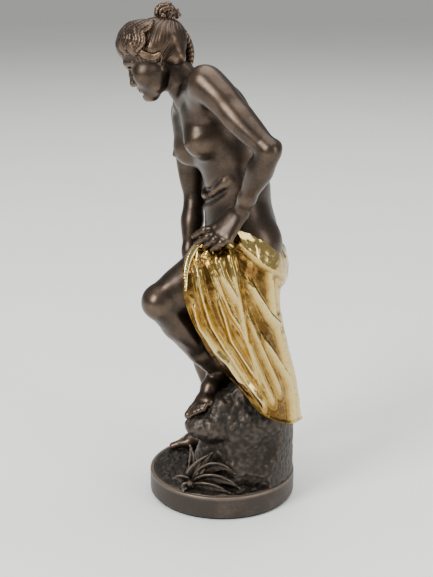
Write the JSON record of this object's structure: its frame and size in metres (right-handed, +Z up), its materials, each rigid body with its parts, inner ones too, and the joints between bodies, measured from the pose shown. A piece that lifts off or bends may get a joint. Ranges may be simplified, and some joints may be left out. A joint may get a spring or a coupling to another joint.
{
  "type": "bronze statuette",
  "caption": "Patinated bronze statuette of a bather leaning forward, one foot on a rock, with a gilt cloth at the hip, on a round plinth",
  "frame": {"origin": "centre of the underside of the base, on the surface that it stands on", "axes": "+Z up along the plinth's axis; the figure faces -X and its left side is towards -Y"},
  "size_m": [0.1064, 0.1117, 0.2998],
  "materials": {
    "patinated_bronze": "satin dark brown patina, rubbed warm on the high places",
    "hair_bronze": "satin dark brown patina, darker in the grooves",
    "rock_bronze": "matt dark grey-brown patina on a rough cast surface",
    "gold_leaf": "gold leaf with a brown antique wash in the folds",
    "plinth_bronze": "smooth satin brown patina",
    "steel": "zinc plated",
    "felt": "dark green pressed felt"
  },
  "bodies": {
    "root": {"torso": "patinated_bronze", "head": "patinated_bronze", "left_arm": "patinated_bronze", "right_arm": "patinated_bronze", "left_leg": "patinated_bronze", "right_leg": "patinated_bronze", "topknot": "hair_bronze", "braid": "hair_bronze", "rock": "rock_bronze", "ground": "rock_bronze", "blade_leaf_1": "rock_bronze", "blade_leaf_2": "rock_bronze", "blade_leaf_3": "rock_bronze", "blade_leaf_4": "rock_bronze", "broad_leaf_1": "rock_bronze", "broad_leaf_2": "rock_bronze", "drapery": "gold_leaf", "plinth": "plinth_bronze", "felt_pad": "felt", "front_rock_stud": "steel", "front_rock_washer": "steel", "front_rock_nut": "steel", "back_rock_stud": "steel", "back_rock_washer": "steel", "back_rock_nut": "steel", "standing_foot_stud": "steel", "standing_foot_washer": "steel", "standing_foot_nut": "steel", "neck_pin": "steel", "left_arm_pin": "steel", "right_arm_pin": "steel", "left_thigh_pin": "steel", "right_thigh_pin": "steel", "topknot_pin": "steel"}
  },
  "joints": []
}
